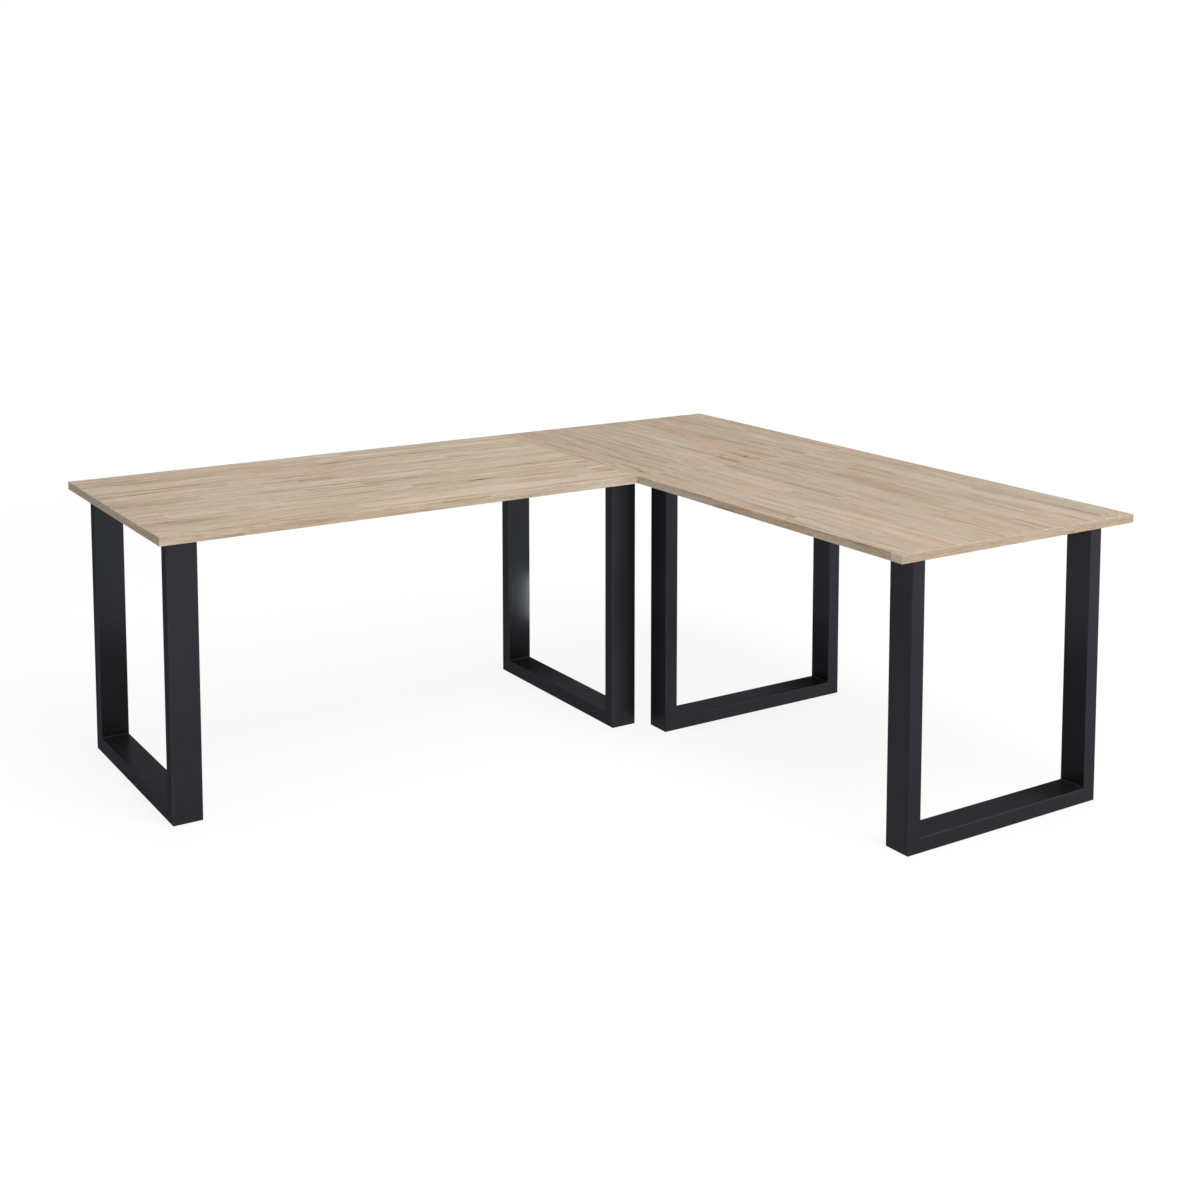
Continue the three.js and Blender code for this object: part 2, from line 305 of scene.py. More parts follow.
class Wiring:
    """Adds and joins the nodes of one tree."""

    def __init__(self, tree: bpy.types.NodeTree) -> None:
        """Starts on an emptied tree."""
        self.tree = tree
        tree.nodes.clear()

    def add(
        self, kind: str, feeds: dict[str | int, Value] | None = None, **options: object
    ) -> bpy.types.Node:
        """Adds a node.

        Args:
            kind: the node's type, after its ShaderNode prefix.
            feeds: a socket or a plain value for each named or numbered input.
            options: the node's own settings.

        Returns:
            The new node.
        """
        node = self.tree.nodes.new("ShaderNode" + kind)
        for option, setting in options.items():
            setattr(node, option, setting)
        for key, value in (feeds or {}).items():
            self.feed(node.inputs[key], value)
        return node

    @classmethod
    def of(cls, item: bpy.types.Material | bpy.types.World) -> "Wiring":
        """The wiring of a new material or world."""
        item.use_nodes = True
        return cls(item.node_tree)

    def feed(self, socket: Socket, value: Value) -> None:
        """Links a socket to an input, or sets the input to a plain value."""
        if isinstance(value, Socket):
            self.tree.links.new(value, socket)
        elif isinstance(value, tuple) and socket.type == "RGBA":
            socket.default_value = (*value, 1.0)
        else:
            socket.default_value = value

    def math(self, operation: str, first: Value, second: Value = 0.0) -> Socket:
        """The result of a Math node."""
        return self.add("Math", {0: first, 1: second}, operation=operation).outputs[0]

    def total(self, *terms: Value) -> Socket:
        """The sum of several values."""
        result = terms[0]
        for term in terms[1:]:
            result = self.math("ADD", result, term)
        return result

    def product(self, *terms: Value) -> Socket:
        """The product of several values."""
        result = terms[0]
        for term in terms[1:]:
            result = self.math("MULTIPLY", result, term)
        return result

    def vector(self, operation: str, first: Value, second: Value) -> Socket:
        """The vector result of a Vector Math node."""
        return self.add("VectorMath", {0: first, 1: second}, operation=operation).outputs[0]

    def split(self, vector: Value) -> tuple[Socket, ...]:
        """A vector's three coordinates."""
        return tuple(self.add("SeparateXYZ", {0: vector}).outputs)

    def combine(self, x: Value, y: Value, z: Value) -> Socket:
        """A vector made of three coordinates."""
        return self.add("CombineXYZ", {0: x, 1: y, 2: z}).outputs[0]

    def noise(
        self, vector: Value, scale: Place, detail: float = 2.0, roughness: float = 0.5
    ) -> Socket:
        """Cloudy values about 0.5, with a scale of its own on each axis, in cycles per metre."""
        stretched = self.vector("MULTIPLY", vector, scale)
        feeds = {"Vector": stretched, "Scale": 1.0, "Detail": detail, "Roughness": roughness}
        return self.add("TexNoise", feeds).outputs[0]

    def swing(self, value: Value, size: Value) -> Socket:
        """Turns values about 0.5 into values about 0, up to plus or minus a size."""
        return self.product(self.math("SUBTRACT", value, 0.5), 2.0, size)

    def ease(
        self, value: Value, low: float, high: float, start: float = 0.0, end: float = 1.0
    ) -> Socket:
        """A smooth step from start to end as a value goes from low to high."""
        feeds = {0: value, 1: low, 2: high, 3: start, 4: end}
        return self.add("MapRange", feeds, interpolation_type="SMOOTHSTEP").outputs[0]

    def mix(self, share: Value, first: Value, second: Value, blend: str = "MIX") -> Socket:
        """Two colours mixed by a share of the second."""
        feeds = {0: share, 6: first, 7: second}
        return self.add("Mix", feeds, data_type="RGBA", blend_type=blend).outputs[2]

    def ramp(self, value: Value, stops: tuple[tuple[float, Colour], ...]) -> Socket:
        """A colour read from a ramp whose stops are given as place and colour."""
        node = self.add("ValToRGB", {0: value})
        elements = node.color_ramp.elements
        while len(elements) < len(stops):
            elements.new(1.0)
        for element, (place, colour) in zip(elements, stops):
            element.position = place
            element.color = (*colour, 1.0)
        return node.outputs[0]


class Effect:
    """A shader node group, built once and placed in each material that shows its effect."""

    name: ClassVar[str]
    inputs: ClassVar[dict[str, tuple[str, object]]]
    outputs: ClassVar[dict[str, str]]

    @classmethod
    @cache
    def tree(cls) -> bpy.types.NodeTree:
        """The group's tree, with its named inputs and outputs wired to its nodes."""
        tree = bpy.data.node_groups.new(cls.name, "ShaderNodeTree")
        wiring = Wiring(tree)
        for name, (kind, default) in cls.inputs.items():
            socket = tree.interface.new_socket(name, in_out="INPUT", socket_type="NodeSocket" + kind)
            socket.default_value = default
        for name, kind in cls.outputs.items():
            tree.interface.new_socket(name, in_out="OUTPUT", socket_type="NodeSocket" + kind)
        given = tree.nodes.new("NodeGroupInput").outputs
        results = cls.wire(wiring, given)
        finish = tree.nodes.new("NodeGroupOutput")
        for name, value in results.items():
            wiring.feed(finish.inputs[name], value)
        return tree

    @classmethod
    def wire(cls, w: Wiring, given: bpy.types.NodeOutputs) -> dict[str, Socket]:
        """Wires the group from its inputs and returns what feeds each output."""
        raise NotImplementedError

    @classmethod
    def place(cls, w: Wiring, **values: Value) -> bpy.types.NodeOutputs:
        """Places the group in a material.

        Args:
            w: the material's wiring.
            values: what feeds each input, its name in lower case with underscores.

        Returns:
            The placed group's outputs.
        """
        node = w.add("Group", node_tree=cls.tree())
        for key, value in values.items():
            w.feed(node.inputs[key.replace("_", " ").title()], value)
        return node.outputs


class OakFigure(Effect):
    """Light sawn oak, printed as long staves.

    The figure's x axis lies along the grain, y across it and z into the surface. Each stave looks
    up the figure at a place of its own. Around a knot the lookup is pulled towards the knot's
    centre line, so the streaks swell round it. The nested figure is the sine of a smooth cloud
    stretched along the grain, whose contour lines close into long lenses. CLOUDS gives each size
    of streak its cycles per metre along x, y and z, its detail and its roughness.
    """

    name = "sawn_oak_figure"
    inputs = {
        "Position": ("Vector", (0.0, 0.0, 0.0)),
        "Seed": ("Float", 0.0),
        "Stave Width": ("Float", 0.1),
        "Contrast": ("Float", 1.0),
    }
    outputs = {"Colour": "Color", "Tone": "Float", "Height": "Float"}

    STAVE_LENGTH: ClassVar[float] = 0.7
    KNOT_SPACING: ClassVar[Place] = (0.42, 0.17, 1.0)
    KNOT_PRESENT: ClassVar[float] = 0.78
    STOPS: ClassVar[tuple[tuple[float, Colour], ...]] = (
        (0.00, (0.099, 0.061, 0.033)),
        (0.25, (0.246, 0.170, 0.097)),
        (0.45, (0.368, 0.277, 0.184)),
        (0.60, (0.448, 0.359, 0.265)),
        (0.80, (0.549, 0.463, 0.373)),
        (1.00, (0.635, 0.566, 0.485)),
    )
    WARM: ClassVar[Colour] = (1.035, 0.985, 0.935)
    GREY: ClassVar[Colour] = (0.975, 0.995, 0.995)
    MIDDLE: ClassVar[float] = 0.635
    NESTED_RINGS: ClassVar[float] = 11.0
    CLOUDS: ClassVar[dict[str, tuple[Place, float, float]]] = {
        "broad": ((0.7, 13.0, 5.0), 2.0, 0.5),
        "bands": ((2.6, 46.0, 18.0), 2.0, 0.5),
        "threads": ((5.5, 150.0, 50.0), 3.0, 0.6),
        "flecks": ((26.0, 360.0, 120.0), 2.0, 0.55),
        "fibres": ((45.0, 1100.0, 400.0), 2.0, 0.6),
        "pores": ((70.0, 1700.0, 600.0), 1.5, 0.5),
        "nested": ((0.9, 7.5, 3.0), 0.6, 0.5),
        "light": ((3.4, 75.0, 30.0), 2.0, 0.5),
        "tint": ((1.3, 24.0, 8.0), 1.5, 0.5),
    }

    @classmethod
    def staves(
        cls, w: Wiring, given: bpy.types.NodeOutputs
    ) -> tuple[Socket, Socket]:
        """The place that each stave looks up, and three random values of its own."""
        offset = w.combine(w.product(given["Seed"], 3.17), w.product(given["Seed"], 1.31), given["Seed"])
        position = w.vector("ADD", given["Position"], offset)
        along, across, _ = w.split(position)
        row = w.math("FLOOR", w.math("DIVIDE", across, given["Stave Width"]))
        row_random = w.add("TexWhiteNoise", {"W": row}, noise_dimensions="1D").outputs["Value"]
        shifted = w.total(w.math("DIVIDE", along, cls.STAVE_LENGTH), w.product(row_random, 5.0))
        cell = w.combine(row, w.math("FLOOR", shifted), 3.0)
        random = w.add("TexWhiteNoise", {"Vector": cell}, noise_dimensions="3D").outputs["Color"]
        return w.vector("ADD", position, w.vector("MULTIPLY", random, (7.0, 0.9, 3.0))), random

    @classmethod
    def knots(cls, w: Wiring, place: Value) -> tuple[Socket, Socket]:
        """The place as pulled in round the knots, and how deep in a knot it is."""
        spacing = cls.KNOT_SPACING
        cells = w.vector("DIVIDE", place, spacing)
        flat = w.vector("MULTIPLY", cells, (1.0, 1.0, 0.0))
        voronoi = w.add("TexVoronoi", {"Vector": flat, "Scale": 1.0}, voronoi_dimensions="2D")
        chance = w.split(voronoi.outputs["Color"])[0]
        present = w.math("GREATER_THAN", chance, cls.KNOT_PRESENT)
        apart = w.vector("MULTIPLY", w.vector("SUBTRACT", flat, voronoi.outputs["Position"]), spacing)
        _, across, _ = w.split(apart)

        def hump(length: float, width: float) -> Socket:
            """A bell over the knot: e to the minus squared distance in units of length and width."""
            scaled = w.vector("MULTIPLY", apart, (1 / length, 1 / width, 0.0))
            squared = w.add("VectorMath", {0: scaled, 1: scaled}, operation="DOT_PRODUCT").outputs["Value"]
            return w.product(w.math("POWER", math.e, w.product(squared, -1.0)), present)

        pull = w.product(across, hump(0.085, 0.022), -0.62)
        core = w.total(hump(0.010, 0.0042), w.product(hump(0.045, 0.0060), 0.35))
        return w.vector("ADD", place, w.combine(0.0, pull, 0.0)), core

    @classmethod
    def wire(cls, w: Wiring, given: bpy.types.NodeOutputs) -> dict[str, Socket]:
        """Adds up the streaks of each size, and reads the colour from their sum."""
        place, random = cls.staves(w, given)
        place, knot = cls.knots(w, place)
        drift = w.swing(w.noise(place, (1.6, 5.0, 2.0), 1.0), 0.010)
        shiver = w.swing(w.noise(place, (9.0, 40.0, 9.0), 1.0), 0.0012)
        grain = w.vector("ADD", place, w.combine(0.0, w.total(drift, shiver), 0.0))

        cloud = {name: w.noise(grain, *spec) for name, spec in cls.CLOUDS.items()}
        pores = w.ease(cloud["pores"], 0.58, 0.70)
        figure = w.math("SINE", w.product(cloud["nested"], 2 * math.pi * cls.NESTED_RINGS))
        figured = w.ease(w.noise(place, (1.1, 9.0, 4.0), 1.0), 0.46, 0.62)
        sum_of_tones = w.total(
            w.swing(cloud["broad"], 0.20),
            w.swing(cloud["bands"], -0.15),
            w.product(w.ease(cloud["bands"], 0.54, 0.64), -0.13),
            w.product(w.ease(cloud["light"], 0.56, 0.68), 0.13),
            w.product(w.ease(cloud["threads"], 0.56, 0.68), -0.14),
            w.product(figure, figured, 0.045),
            w.swing(cloud["flecks"], 0.30),
            w.swing(cloud["fibres"], 0.16),
            w.swing(w.split(random)[1], 0.035),
            w.product(pores, -0.20),
        )
        tone = w.total(w.product(sum_of_tones, given["Contrast"]), cls.MIDDLE, w.product(knot, -0.42))
        tint = w.mix(w.ease(cloud["tint"], 0.38, 0.62), cls.GREY, cls.WARM)
        tinted = w.mix(1.0, w.ramp(tone, cls.STOPS), tint, "MULTIPLY")
        relief = w.total(w.swing(cloud["fibres"], 0.4), w.swing(cloud["flecks"], 0.4))
        height = w.total(relief, w.product(pores, -1.0), w.product(knot, -0.8))
        return {"Colour": tinted, "Tone": tone, "Height": height}


class ArrisWear(Effect):
    """Rubbed patches along the rounded edges: the edge attribute broken up by a cloud."""

    name = "arris_wear"
    inputs = {
        "Position": ("Vector", (0.0, 0.0, 0.0)),
        "Amount": ("Float", 0.5),
    }
    outputs = {"Mask": "Float"}

    @classmethod
    def wire(cls, w: Wiring, given: bpy.types.NodeOutputs) -> dict[str, Socket]:
        """Multiplies the edge attribute by a patchy and a fine cloud."""
        edge = w.add("Attribute", attribute_name="arris").outputs["Fac"]
        patchy = w.ease(w.noise(given["Position"], (14.0, 14.0, 14.0), 3.0), 0.35, 0.65, 0.35, 1.0)
        fine = w.ease(w.noise(given["Position"], (420.0, 420.0, 420.0), 2.0), 0.3, 0.7, 0.6, 1.0)
        return {"Mask": w.product(edge, patchy, fine, given["Amount"])}


class SatinSkin(Effect):
    """A fine orange peel with faint handling marks, as on sprayed and moulded surfaces."""

    name = "satin_skin"
    inputs = {
        "Position": ("Vector", (0.0, 0.0, 0.0)),
        "Grain Size": ("Float", 0.002),
    }
    outputs = {"Height": "Float", "Cloud": "Float"}

    @classmethod
    def wire(cls, w: Wiring, given: bpy.types.NodeOutputs) -> dict[str, Socket]:
        """Two clouds: one at the grain size for the height, one broad for the gloss."""
        scaled = w.vector("DIVIDE", given["Position"], w.combine(*[given["Grain Size"]] * 3))
        height = w.noise(scaled, (1.0, 1.0, 1.0), 2.0, 0.45)
        broad = w.noise(given["Position"], (5.0, 5.0, 5.0), 3.0, 0.6)
        streaks = w.noise(given["Position"], (60.0, 60.0, 9.0), 2.0, 0.5)
        return {"Height": height, "Cloud": w.total(w.product(broad, 0.7), w.product(streaks, 0.3))}


# ---- Finishes ----


class Grain(Enum):
    """How a piece's grain lies: the axes along it, across it and into the surface."""

    X_ON_FACE = ((1, 0, 0), (0, 1, 0), (0, 0, 1))
    Y_ON_FACE = ((0, 1, 0), (-1, 0, 0), (0, 0, 1))
    X_ON_EDGE = ((1, 0, 0), (0, 0, 1), (0, -1, 0))
    Y_ON_EDGE = ((0, 1, 0), (0, 0, 1), (1, 0, 0))

    def turn(self) -> tuple[float, float, float]:
        """The Mapping node's angles that lay the three axes along x, y and z."""
        return tuple(Matrix(self.value).to_euler("XYZ"))


def scaled(colour: Colour, shade: float) -> Colour:
    """A colour with each channel multiplied by a shade."""
    return tuple(shade * channel for channel in colour)


@dataclass(frozen=True)
class Finish:
    """What every finish shares: a name and a Principled surface with a bump.

    Attributes:
        name: the material's name.
        roughness: the middle of its roughness.
        specular: the strength of its plain reflection.
        bump: how far the bump's height reaches, in metres.
    """

    name: str
    roughness: float = 0.5
    specular: float = 0.5
    bump: float = 0.02 * MM

    def position(self, w: Wiring) -> Socket:
        """The piece's own coordinates, in metres."""
        return w.add("TexCoord").outputs["Object"]

    def surface(
        self, w: Wiring, colour: Value, roughness: Value, height: Value, metallic: float = 0.0
    ) -> None:
        """Wires the Principled shader, its bump and the output.

        Args:
            w: the material's wiring.
            colour: what feeds the base colour.
            roughness: what feeds the roughness.
            height: what feeds the bump.
            metallic: how metallic the surface is.
        """
        bump = w.add("Bump", {"Height": height, "Distance": self.bump, "Strength": 1.0})
        shader = w.add(
            "BsdfPrincipled",
            {
                "Base Color": colour,
                "Roughness": roughness,
                "Metallic": metallic,
                "Specular IOR Level": self.specular,
                "Normal": bump.outputs[0],
            },
        )
        w.add("OutputMaterial", {"Surface": shader.outputs[0]})

    def wire(self, w: Wiring) -> None:
        """Wires the whole material."""
        raise NotImplementedError


@cache
def material_of(finish: Finish) -> bpy.types.Material:
    """The material that shows a finish, made the first time that it is asked for."""
    material = bpy.data.materials.new(finish.name)
    finish.wire(Wiring.of(material))
    LOG.info("finish %s", finish.name)
    return material


@dataclass(frozen=True)
class OakDecor(Finish):
    """Printed oak decor.

    Attributes:
        grain: how the grain lies.
        seed: where in the figure this piece was cut.
        stave_width: the width of a printed stave.
        contrast: how strongly the streaks show.
        tint: what the figure's colour is multiplied by.
        rubbed_colour: the colour where an edge is rubbed.
    """

    grain: Grain = Grain.X_ON_FACE
    seed: float = 0.0
    stave_width: float = 0.08
    contrast: float = 1.0
    tint: Colour = WHITE
    rubbed_colour: Colour = (0.62, 0.54, 0.44)
    roughness: float = 0.46
    specular: float = 0.45
    bump: float = 0.03 * MM

    def wire(self, w: Wiring) -> None:
        """Figure for the colour, its tone for the gloss, its pores and fibres for the bump."""
        mapping = w.add("Mapping", {"Vector": self.position(w), "Rotation": self.grain.turn()})
        figure = OakFigure.place(
            w,
            position=mapping.outputs[0],
            seed=self.seed,
            stave_width=self.stave_width,
            contrast=self.contrast,
        )
        worn = ArrisWear.place(w, position=self.position(w), amount=0.25)["Mask"]
        colour = w.mix(1.0, figure["Colour"], self.tint, "MULTIPLY")
        rubbed = w.mix(worn, colour, self.rubbed_colour)
        roughness = w.total(self.roughness, w.swing(figure["Tone"], -0.12))
        self.surface(w, rubbed, roughness, figure["Height"])


@dataclass(frozen=True)
class OakEdging(OakDecor):
    """The same decor on an edging strip: one stave wide, softer in its streaks, a little glossier."""

    stave_width: float = 0.4
    contrast: float = 0.85
    tint: Colour = (1.0, 0.99, 0.985)
    roughness: float = 0.42


@dataclass(frozen=True)
class PowderCoat(Finish):
    """Anthracite powder coat in satin gloss, thinner and paler along the arrises.

    Attributes:
        colour: its colour.
        worn_colour: the colour where an edge is rubbed.
        shades: what its colour is multiplied by in its darkest and in its lightest clouds.
        grain_size: the size of its orange peel.
    """

    colour: Colour = (0.0098, 0.0092, 0.0098)
    worn_colour: Colour = (0.030, 0.031, 0.035)
    shades: tuple[float, float] = (0.86, 1.12)
    grain_size: float = 1.6 * MM
    roughness: float = 0.30
    specular: float = 0.45
    bump: float = 0.012 * MM

    def wire(self, w: Wiring) -> None:
        """Orange peel for the bump, a broad cloud for gloss and depth, pale arrises."""
        skin = SatinSkin.place(w, position=self.position(w), grain_size=self.grain_size)
        worn = ArrisWear.place(w, position=self.position(w), amount=0.5)["Mask"]
        darker, lighter = (scaled(self.colour, shade) for shade in self.shades)
        clouded = w.mix(w.ease(skin["Cloud"], 0.3, 0.7), darker, lighter)
        colour = w.mix(worn, clouded, self.worn_colour)
        roughness = w.total(self.roughness, w.swing(skin["Cloud"], 0.10), w.product(worn, 0.06))
        self.surface(w, colour, roughness, skin["Height"])


@dataclass(frozen=True)
class ZincPlate(Finish):
    """Bright zinc plating with a faint spangle.

    Attributes:
        colour: its colour where it is bright.
        dull_shade: what its colour is multiplied by where it is dull.
        grain_size: the size of its spangle.
    """

    colour: Colour = (0.52, 0.54, 0.56)
    dull_shade: float = 0.72
    grain_size: float = 0.6 * MM
    roughness: float = 0.32

    def wire(self, w: Wiring) -> None:
        """A fine cloud for the tone and the gloss, and a faint bump."""
        skin = SatinSkin.place(w, position=self.position(w), grain_size=self.grain_size)
        dull = scaled(self.colour, self.dull_shade)
        colour = w.mix(w.ease(skin["Height"], 0.3, 0.7), dull, self.colour)
        roughness = w.total(self.roughness, w.swing(skin["Height"], 0.12))
        self.surface(w, colour, roughness, skin["Height"], metallic=1.0)


@dataclass(frozen=True)
class MouldedPlastic(Finish):
    """Black moulded plastic with a spark-eroded skin.

    Attributes:
        colour: its colour.
        worn_shade: what its colour is multiplied by where it is worn.
        grain_size: the size of its skin's grain.
    """

    colour: Colour = (0.013, 0.013, 0.014)
    worn_shade: float = 3.0
    grain_size: float = 0.35 * MM
    roughness: float = 0.55
    bump: float = 0.03 * MM

    def wire(self, w: Wiring) -> None:
        """A fine skin for the bump, worn paler at the rim."""
        skin = SatinSkin.place(w, position=self.position(w), grain_size=self.grain_size)
        worn = ArrisWear.place(w, position=self.position(w), amount=0.6)["Mask"]
        pale = scaled(self.colour, self.worn_shade)
        colour = w.mix(w.total(worn, w.product(skin["Cloud"], 0.15)), self.colour, pale)
        roughness = w.total(self.roughness, w.swing(skin["Height"], 0.14))
        self.surface(w, colour, roughness, skin["Height"])


COAT = PowderCoat("powder_coat_anthracite")
ZINC = ZincPlate("zinc_plate")
PLASTIC = MouldedPlastic("moulded_plastic_black")


# ---- Tops ----


class Side(Enum):
    """A side of a top: the axis that it faces along, and which way."""

    LEFT = (0, -1)
    RIGHT = (0, 1)
    FRONT = (1, -1)
    REAR = (1, 1)

    @property
    def label(self) -> str:
        """The side's name in the names of its pieces."""
        return self.name.lower()


@dataclass
class Desktop:
    """A top: a board faced with decor, and an edging strip on each side.

    Attributes:
        name: the top's name.
        grain: the axis that its grain runs along, 0 for x and 1 for y.
        seams: the sides that butt against another top.
        seed: where in the figure the board was cut.
        tint: what the board's colour is multiplied by; the right top's lower tint is painted shade,
            darkening the whole top for the less light that falls on it.
        contrast: how strongly the board's streaks show.
        hairline: the glue line left between board and strip.
        seam_gap: how far each strip at a seam moves out, closing the seam to a hairline.
        board_arris: the ease on the board's own edges.
        strip_radius: the radius on a strip's outer long edges.
        strip_end_radius: the ease on a strip's ends, which are square at a seam.
        strip_seed: how far from the board's place in the figure the first strip was cut.
        strip_seed_step: how far apart the strips were cut.
    """

    name: str
    grain: int
    seams: tuple[Side, ...]
    seed: float
    tint: Colour = WHITE
    contrast: float = 1.0
    hairline: float = 0.05 * MM
    seam_gap: float = 0.10 * MM
    board_arris: float = 0.08 * MM
    strip_radius: float = 1.0 * MM
    strip_end_radius: float = 0.5 * MM
    strip_seed: float = 11.0
    strip_seed_step: float = 2.3

    def build(self) -> None:
        """Makes the board and its strips."""
        self.make_board()
        for side in Side:
            self.make_strip(side)

    def make_board(self) -> None:
        """The board, a bar standing on its underside, its section the board's plan."""
        node = f"{self.name}_core"
        low, high = node_box(node)
        size = high - low
        radii = (self.board_arris,) * 4
        surface = bar((size[0], size[1]), size[2], radii, self.board_arris, steps=2)
        middle = (low + high) / 2
        surface = surface.moved(np.array([middle[0], middle[1], low[2]]))
        grain = Grain.Y_ON_FACE if self.grain else Grain.X_ON_FACE
        finish = OakDecor(
            f"oak_decor_{self.name}",
            grain=grain,
            seed=self.seed,
            contrast=self.contrast,
            tint=self.tint,
        )
        make_piece(f"{self.name}_board", surface, finish, (node,))

    def make_strip(self, side: Side) -> None:
        """An edging strip, a bar along its side with its rounded edges outwards.

        Args:
            side: the side that it covers.
        """
        node = f"{self.name}_band_{side.label}"
        low, high = node_box(node)
        board_low, board_high = node_box(f"{self.name}_core")
        facing, sign = side.value
        run = 1 - facing
        if sign > 0:
            inner, outer = board_high[facing] + self.hairline, high[facing]
        else:
            inner, outer = board_low[facing] - self.hairline, low[facing]
        seam = side in self.seams
        if seam:
            outer += sign * self.seam_gap
        start, end = low[run], high[run]
        if start > board_low[run] - 1 * MM:
            start, end = board_low[run] - self.hairline, board_high[run] + self.hairline
        free = TIGHT_ARRIS if seam else self.strip_radius
        radii = (free, free, TIGHT_ARRIS, TIGHT_ARRIS)
        section = (abs(outer - inner), high[2] - low[2])
        surface = bar(section, end - start, radii, TIGHT_ARRIS if seam else self.strip_end_radius)
        axes = np.zeros((3, 3))
        axes[0, facing] = sign
        axes[1, 2] = 1.0
        axes[2, run] = 1.0
        origin = np.zeros(3)
        origin[facing] = (inner + outer) / 2
        origin[2] = (low[2] + high[2]) / 2
        origin[run] = start
        surface = surface.moved(origin, axes).outward()
        grain = Grain.X_ON_EDGE if run == 0 else Grain.Y_ON_EDGE
        seed = self.seed + self.strip_seed + self.strip_seed_step * list(Side).index(side)
        finish = OakEdging(f"oak_edging_{self.name}_{side.label}", grain=grain, seed=seed)
        make_piece(f"{self.name}_edging_{side.label}", surface, finish, (node,))


# ---- Frames ----


@dataclass(frozen=True)
class Glide:
    """A foot pad: a disc on the floor, and a barbed stem pressed into the rail.

    Attributes:
        radius: the disc's radius.
        height: how far the disc stands proud of the rail.
        rim: the radius on the disc's lower edge.
        shoulder: the radius on the disc's upper edge.
        stem_radius: the stem's radius.
        stem_height: the height of the stem's tip over the floor.
        stem_flare: how much wider the stem is where it meets the disc.
        stem_taper: how much narrower the stem is at its tip.
        barbs: rings on the stem.
        barb_height: how far each barb stands out.
        sides: points round the pad.
    """

    radius: float = 15 * MM
    height: float = 1.95 * MM
    rim: float = 1.1 * MM
    shoulder: float = 0.3 * MM
    stem_radius: float = 4.6 * MM
    stem_height: float = 9 * MM
    stem_flare: float = 0.6 * MM
    stem_taper: float = 1.4 * MM
    barbs: int = 3
    barb_height: float = 0.4 * MM
    sides: int = 64

    def profile(self) -> np.ndarray:
        """Radius and height from the floor up: flat base, rounded rim, flat top, barbed stem."""
        base = np.array([[0.2 * self.radius, 0.0], [self.radius - 1.3 * self.rim, 0.0]])
        rim = arc_profile((self.radius - self.rim, self.rim), self.rim, -90, 0, 8)
        ease = self.shoulder
        shoulder = arc_profile((self.radius - ease, self.height - ease), ease, 0, 90, 4)
        thick = self.stem_radius
        foot = np.array([[thick + self.stem_flare, self.height], [thick, self.height + 0.5 * MM]])
        climb = np.linspace(0, 1, 8 * self.barbs + 1)
        rise = self.stem_height - 1.5 * MM - foot[-1, 1]
        saw = self.barb_height * (1 - (climb * self.barbs) % 1)
        stem_rise = foot[-1, 1] + 0.1 * MM + climb * rise
        stem = np.stack([thick - self.barb_height + saw, stem_rise], axis=-1)
        tip = np.array([[thick - self.stem_taper, self.stem_height], [0.2 * thick, self.stem_height]])
        return np.concatenate([base, rim, shoulder, foot, stem, tip])

    def surface(self, place: np.ndarray) -> Surface:
        """The pad standing on the floor at a place."""
        profile = self.profile()
        skin = turned(profile, self.sides)
        on_rim = (profile[:, 0] > self.radius - 1.2 * self.rim).astype(float)
        skin.arris[: len(profile) * self.sides] = np.repeat(on_rim, self.sides)
        return skin.moved(place)


